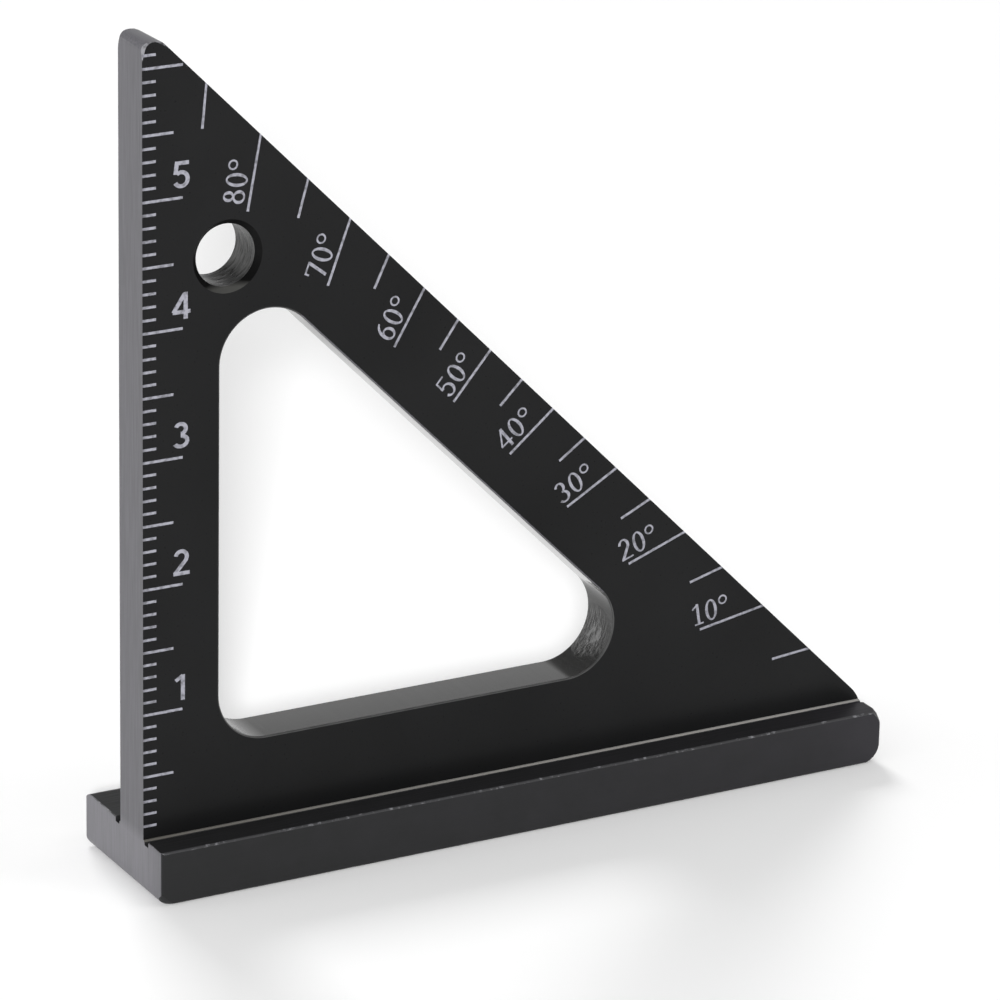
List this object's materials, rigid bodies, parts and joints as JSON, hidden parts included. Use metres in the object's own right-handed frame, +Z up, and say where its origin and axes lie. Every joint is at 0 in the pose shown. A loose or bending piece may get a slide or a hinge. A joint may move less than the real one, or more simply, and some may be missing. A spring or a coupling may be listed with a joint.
{
  "type": "layout square",
  "caption": "Pocket layout square: triangular blade with a window and hang hole, standing on an offset fence, with filled rule and protractor marks.",
  "frame": {"origin": "centre of the fence's underside, which the square stands on", "axes": "+X along the fence away from the upright edge, +Y from the front face to the back ledge, +Z up the blade"},
  "size_m": [0.0636, 0.0134, 0.0666],
  "materials": {
    "anodised_aluminium": "satin black anodise",
    "mark_fill": "matt pale fill"
  },
  "bodies": {
    "root": {"square_body": "anodised_aluminium", "millimetre_marks": "mark_fill", "five_millimetre_marks": "mark_fill", "centimetre_marks": "mark_fill", "centimetre_numerals": "mark_fill", "five_degree_marks": "mark_fill", "ten_degree_marks": "mark_fill", "degree_numerals": "mark_fill", "inch_fine_marks": "mark_fill", "inch_main_marks": "mark_fill", "inch_numerals": "mark_fill"}
  },
  "joints": []
}
